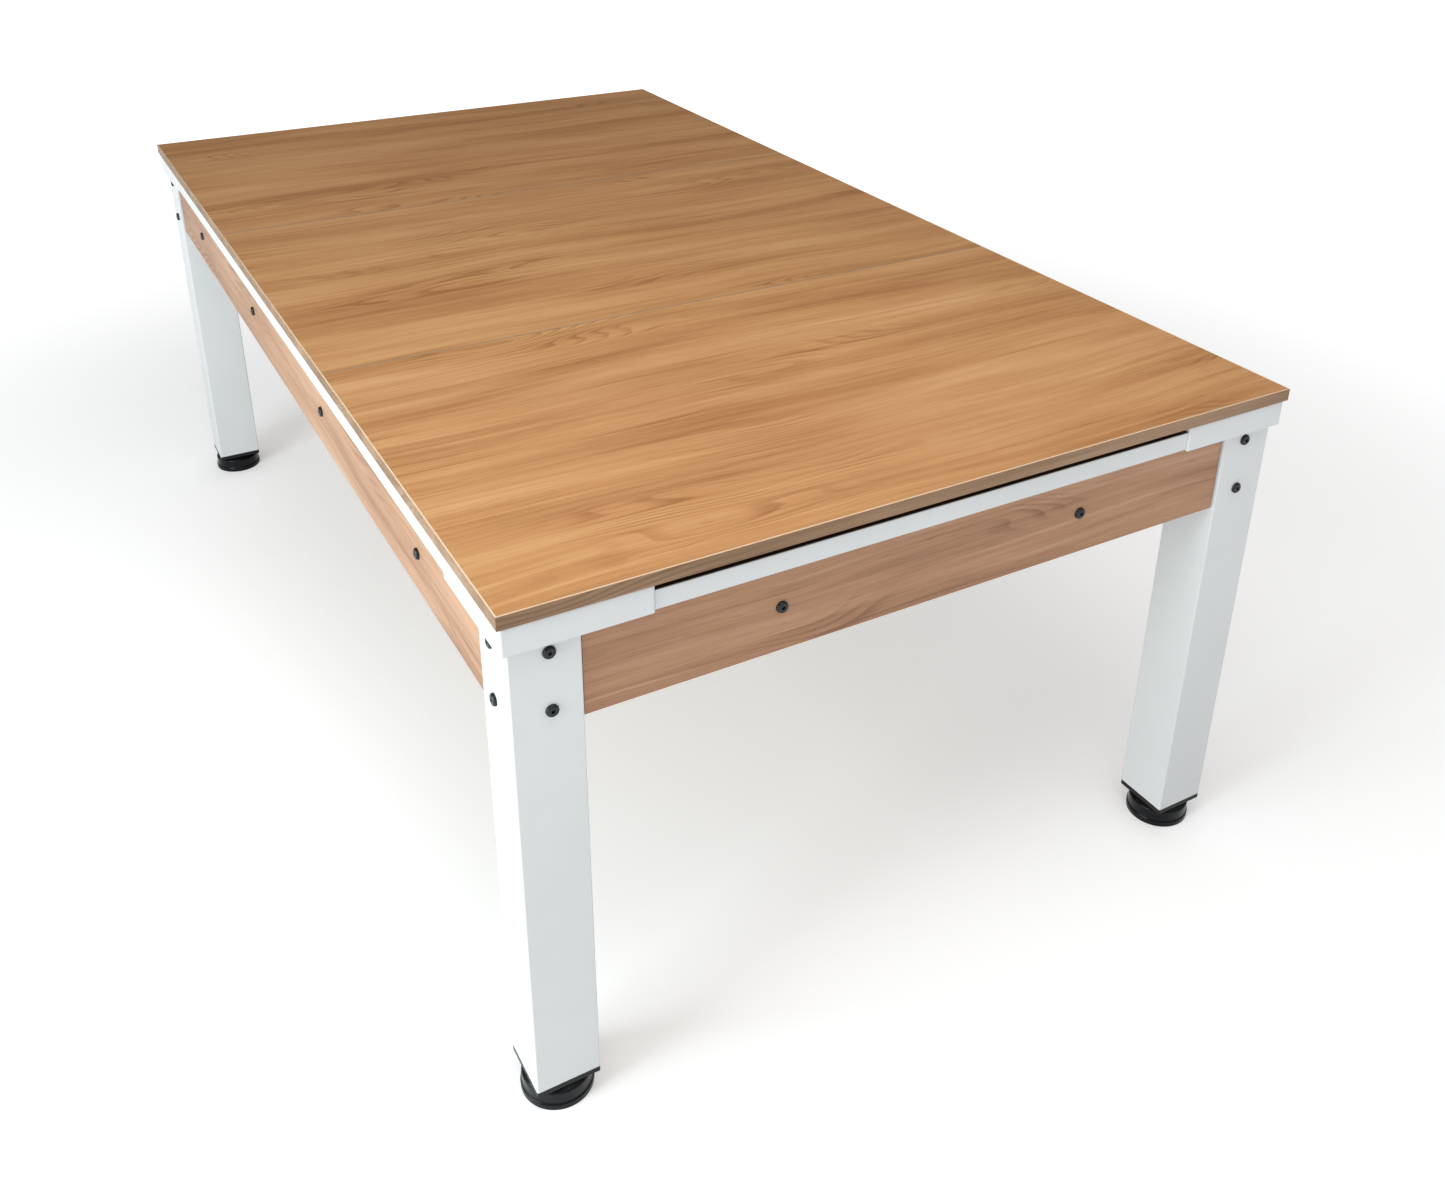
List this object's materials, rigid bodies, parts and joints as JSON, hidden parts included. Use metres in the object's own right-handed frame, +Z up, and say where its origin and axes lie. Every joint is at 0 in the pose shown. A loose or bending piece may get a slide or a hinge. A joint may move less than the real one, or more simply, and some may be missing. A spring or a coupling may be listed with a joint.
{
  "type": "pool table",
  "caption": "Pool table that closes into a dining table: lift-off wood-grain panels over a cloth-covered bed with cushions and pockets, on square white legs with levelling feet.",
  "frame": {"origin": "on the floor under the middle of the table", "axes": "+X along the long sides, +Y along the short ends towards the back, +Z up"},
  "size_m": [2.1396, 1.22, 0.8],
  "materials": {
    "oak_laminate": "oak-grain laminate, satin",
    "oak_edge_band": "wood-grain edge band, satin",
    "oak_apron": "oak-grain laminate, satin",
    "black_rubber": "matte rubber",
    "white_casting": "white powder coat, fine texture",
    "white_rail": "board with a white satin coat",
    "white_powder_coat": "white powder coat, fine texture",
    "black_powder_coat": "black powder coat, matte",
    "cushion_cloth": "napped billiard cloth over rubber",
    "table_cloth": "napped billiard cloth",
    "bed_board": "raw fibreboard",
    "basket_plastic": "moulded plastic, fine grain",
    "liner_plastic": "moulded plastic, fine grain",
    "plug_plastic": "moulded plastic",
    "foot_plastic": "glossy moulded plastic",
    "stud_steel": "zinc-plated thread",
    "black_bolt": "black oxide, semi-gloss",
    "screw_steel": "zinc plated"
  },
  "bodies": {
    "table": {"apron_back": "oak_apron", "apron_bolts": "black_bolt", "apron_front": "oak_apron", "apron_left": "oak_apron", "apron_right": "oak_apron", "beam_back": "black_powder_coat", "beam_front": "black_powder_coat", "beam_left": "black_powder_coat", "beam_right": "black_powder_coat", "bed_cloth": "table_cloth", "corner_casting_back_left": "white_casting", "corner_casting_back_right": "white_casting", "corner_casting_front_left": "white_casting", "corner_casting_front_right": "white_casting", "corner_posts": "black_powder_coat", "cross_members": "black_powder_coat", "cushion_back_high_x": "cushion_cloth", "cushion_back_low_x": "cushion_cloth", "cushion_front_high_x": "cushion_cloth", "cushion_front_low_x": "cushion_cloth", "cushion_left": "cushion_cloth", "cushion_right": "cushion_cloth", "leg_back_left": "white_powder_coat", "leg_back_right": "white_powder_coat", "leg_bolts": "black_bolt", "leg_end_plugs": "plug_plastic", "leg_front_left": "white_powder_coat", "leg_front_right": "white_powder_coat", "playing_bed": "bed_board", "pocket_basket_back_left": "basket_plastic", "pocket_basket_back_middle": "basket_plastic", "pocket_basket_back_right": "basket_plastic", "pocket_basket_front_left": "basket_plastic", "pocket_basket_front_middle": "basket_plastic", "pocket_basket_front_right": "basket_plastic", "rail_back": "white_rail", "rail_front": "white_rail", "rail_left": "white_rail", "rail_right": "white_rail", "rail_screws": "screw_steel", "side_pocket_liner_back": "liner_plastic", "side_pocket_liner_front": "liner_plastic"},
    "dining_top_left": {"dining_panel_left": "oak_laminate", "edge_band_left": "oak_edge_band", "panel_pads_left": "black_rubber"},
    "dining_top_middle": {"dining_panel_middle": "oak_laminate", "edge_band_middle": "oak_edge_band", "panel_pads_middle": "black_rubber"},
    "dining_top_right": {"dining_panel_right": "oak_laminate", "edge_band_right": "oak_edge_band", "panel_pads_right": "black_rubber"},
    "foot_front_left": {"levelling_foot_front_left": "foot_plastic", "foot_stud_front_left": "stud_steel"},
    "foot_front_right": {"levelling_foot_front_right": "foot_plastic", "foot_stud_front_right": "stud_steel"},
    "foot_back_right": {"levelling_foot_back_right": "foot_plastic", "foot_stud_back_right": "stud_steel"},
    "foot_back_left": {"levelling_foot_back_left": "foot_plastic", "foot_stud_back_left": "stud_steel"}
  },
  "joints": [
    {"name": "dining_top_left_lift", "type": "slide", "parent": "table", "child": "dining_top_left", "axis": [0, 0, 1], "range_m": [0, 0.4]},
    {"name": "dining_top_middle_lift", "type": "slide", "parent": "table", "child": "dining_top_middle", "axis": [0, 0, 1], "range_m": [0, 0.4]},
    {"name": "dining_top_right_lift", "type": "slide", "parent": "table", "child": "dining_top_right", "axis": [0, 0, 1], "range_m": [0, 0.4]},
    {"name": "foot_front_left_adjust", "type": "slide", "parent": "table", "child": "foot_front_left", "axis": [0, 0, -1], "range_m": [-0.003, 0.015]},
    {"name": "foot_front_right_adjust", "type": "slide", "parent": "table", "child": "foot_front_right", "axis": [0, 0, -1], "range_m": [-0.003, 0.015]},
    {"name": "foot_back_right_adjust", "type": "slide", "parent": "table", "child": "foot_back_right", "axis": [0, 0, -1], "range_m": [-0.003, 0.015]},
    {"name": "foot_back_left_adjust", "type": "slide", "parent": "table", "child": "foot_back_left", "axis": [0, 0, -1], "range_m": [-0.003, 0.015]}
  ]
}
